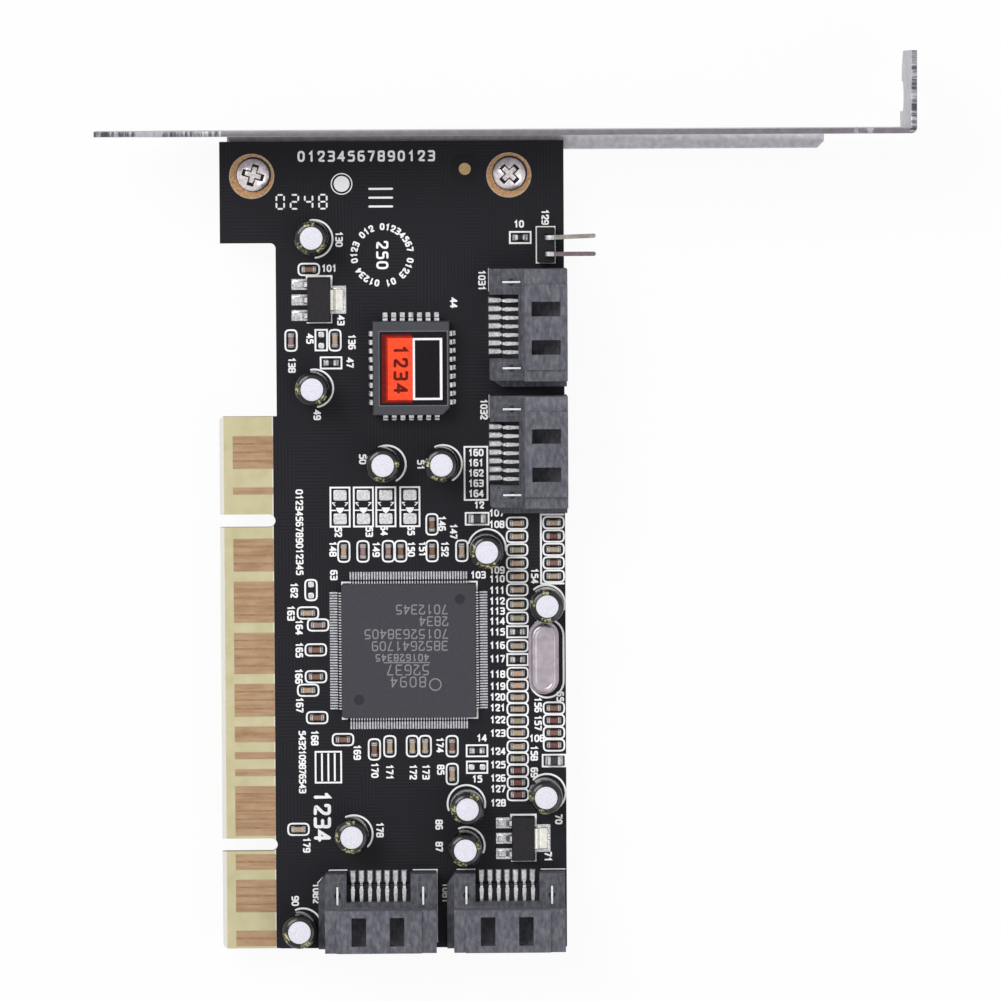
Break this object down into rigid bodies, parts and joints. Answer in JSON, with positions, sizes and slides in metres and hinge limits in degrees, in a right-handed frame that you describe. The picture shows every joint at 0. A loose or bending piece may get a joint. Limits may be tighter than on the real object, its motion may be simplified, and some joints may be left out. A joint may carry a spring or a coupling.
{
  "type": "raid controller card",
  "caption": "Bare full-height PCI storage card with a steel bracket, a large controller chip and SATA headers along its edges.",
  "frame": {"origin": "middle of the edge connector's mating edge, on the board's middle plane", "axes": "+X away from the slot the card plugs into, +Y along the card towards the bracket, +Z out of the component side"},
  "size_m": [0.1201, 0.1329, 0.0216],
  "materials": {
    "board": "solder mask over glass-epoxy laminate",
    "gold_contacts": "gold plate, lightly dulled",
    "bracket_steel": "satin nickel-plated sheet steel",
    "screw_steel": "bright plated steel",
    "chip_body": "matt moulding compound",
    "tinned_leads": "bright tin plate",
    "paper_label": "coated paper",
    "crystal_metal": "drawn nickel-plated can",
    "header_plastic": "black moulded insulator",
    "sata_plastic": "glass-filled slate grey moulding",
    "capacitor_sleeve": "glossy dark shrink sleeve",
    "solder": "solder",
    "ceramic": "tan ceramic with tinned ends",
    "resistor_black": "black glazed resistor",
    "ferrite": "dark ferrite"
  },
  "bodies": {
    "root": {"circuit_board": "board", "edge_contacts_front": "gold_contacts", "edge_contacts_back": "gold_contacts", "bracket": "bracket_steel", "bracket_screws": "screw_steel", "controller_body": "chip_body", "controller_leads": "tinned_leads", "flash_body": "chip_body", "flash_leads": "tinned_leads", "flash_label": "paper_label", "regulator_1_body": "chip_body", "regulator_1_leads": "tinned_leads", "regulator_2_body": "chip_body", "regulator_2_leads": "tinned_leads", "crystal_base": "crystal_metal", "crystal_can": "crystal_metal", "header_block": "header_plastic", "header_pins": "tinned_leads", "sata_1_shell": "sata_plastic", "sata_1_contacts": "tinned_leads", "sata_1_clips": "tinned_leads", "sata_2_shell": "sata_plastic", "sata_2_contacts": "tinned_leads", "sata_2_clips": "tinned_leads", "sata_3_shell": "sata_plastic", "sata_3_contacts": "tinned_leads", "sata_3_clips": "tinned_leads", "sata_4_shell": "sata_plastic", "sata_4_contacts": "tinned_leads", "sata_4_clips": "tinned_leads", "capacitor_01": "capacitor_sleeve", "capacitor_02": "capacitor_sleeve", "capacitor_03": "capacitor_sleeve", "capacitor_04": "capacitor_sleeve", "capacitor_05": "capacitor_sleeve", "capacitor_06": "capacitor_sleeve", "capacitor_07": "capacitor_sleeve", "capacitor_08": "capacitor_sleeve", "capacitor_09": "capacitor_sleeve", "capacitor_10": "capacitor_sleeve", "capacitor_11": "capacitor_sleeve", "lead_ends": "solder", "chip_capacitors": "ceramic", "chip_resistors": "resistor_black", "ferrite_beads": "ferrite"}
  },
  "joints": []
}
